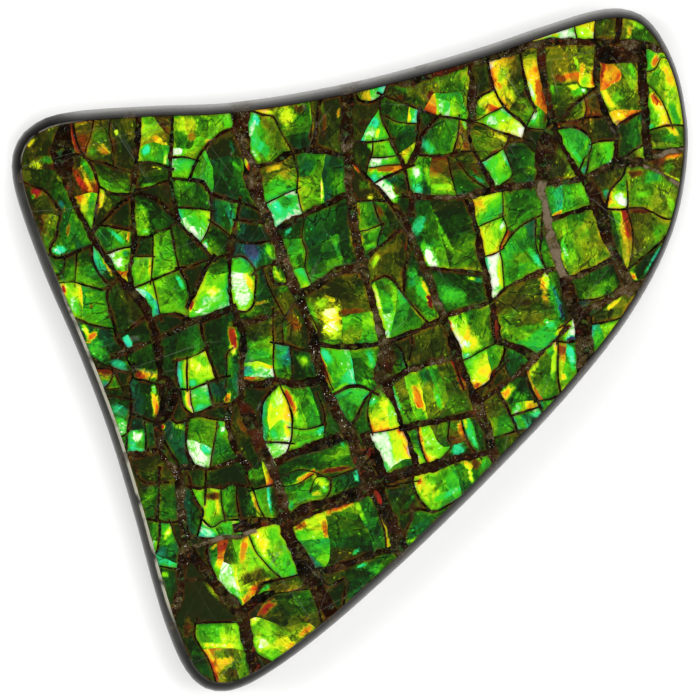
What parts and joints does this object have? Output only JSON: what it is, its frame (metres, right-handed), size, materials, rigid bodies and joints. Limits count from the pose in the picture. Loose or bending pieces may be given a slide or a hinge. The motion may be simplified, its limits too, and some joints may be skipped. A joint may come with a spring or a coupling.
{
  "type": "ammolite specimen",
  "caption": "Freeform polished ammolite slab with a flat back, a rounded polished edge and a face of shell fragments parted by dark veins.",
  "frame": {"origin": "under the middle of the stone, on its flat back", "axes": "+Z from the flat back to the polished face, +X to the right and +Y up as the face is looked at"},
  "size_m": [0.0509, 0.0514, 0.006],
  "materials": {
    "shell_mosaic": "polished iridescent fossil shell fragments, green with yellow, orange and blue-green flashes",
    "vein_filling": "polished near-black to red-brown vein filling with a fine crystalline sparkle",
    "dark_matrix": "polished dark shale on the side, plain ground shale on the back"
  },
  "bodies": {
    "root": {"ammolite_stone": "shell_mosaic"}
  },
  "joints": []
}
